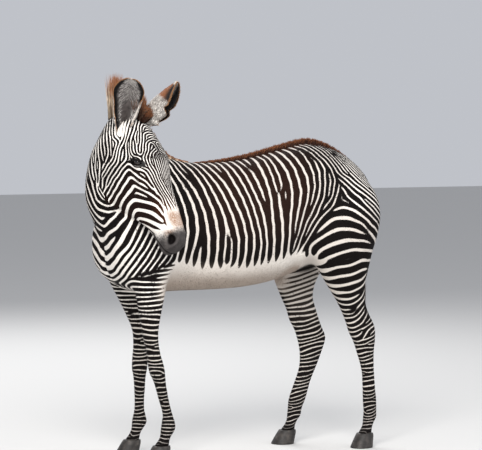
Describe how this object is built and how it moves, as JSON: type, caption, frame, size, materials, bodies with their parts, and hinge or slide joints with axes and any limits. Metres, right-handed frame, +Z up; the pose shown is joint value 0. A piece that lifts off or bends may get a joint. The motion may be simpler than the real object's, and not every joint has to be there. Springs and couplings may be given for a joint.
{
  "type": "standing zebra",
  "caption": "Life-size still model of a Grevy's zebra standing with its neck bent back and its head turned over its left shoulder.",
  "frame": {"origin": "middle of the bounding box in plan, at the height of the hooves' soles", "axes": "+Z up, +X towards the rump with the chest facing -X, and +Y towards the animal's right side"},
  "size_m": [1.5864, 0.744, 1.88],
  "materials": {
    "coat": "short striped hair lying flat, black-brown on cream",
    "hair": "stiff upright hair of the mane and the tassel of the tail",
    "hoof": "dull dark horn",
    "eye": "wet dark brown"
  },
  "bodies": {
    "root": {"trunk": "coat", "neck": "coat", "head": "coat", "eye_right": "eye", "eye_left": "eye", "ear_right": "coat", "ear_left": "coat", "mane": "hair", "foreleg_left_upper": "coat", "foreleg_left_cannon": "coat", "foreleg_left_hoof": "hoof", "foreleg_right_upper": "coat", "foreleg_right_cannon": "coat", "foreleg_right_hoof": "hoof", "hindleg_left_upper": "coat", "hindleg_left_cannon": "coat", "hindleg_left_hoof": "hoof", "hindleg_right_upper": "coat", "hindleg_right_cannon": "coat", "hindleg_right_hoof": "hoof", "tail_dock": "coat", "tail_tassel": "hair"}
  },
  "joints": []
}
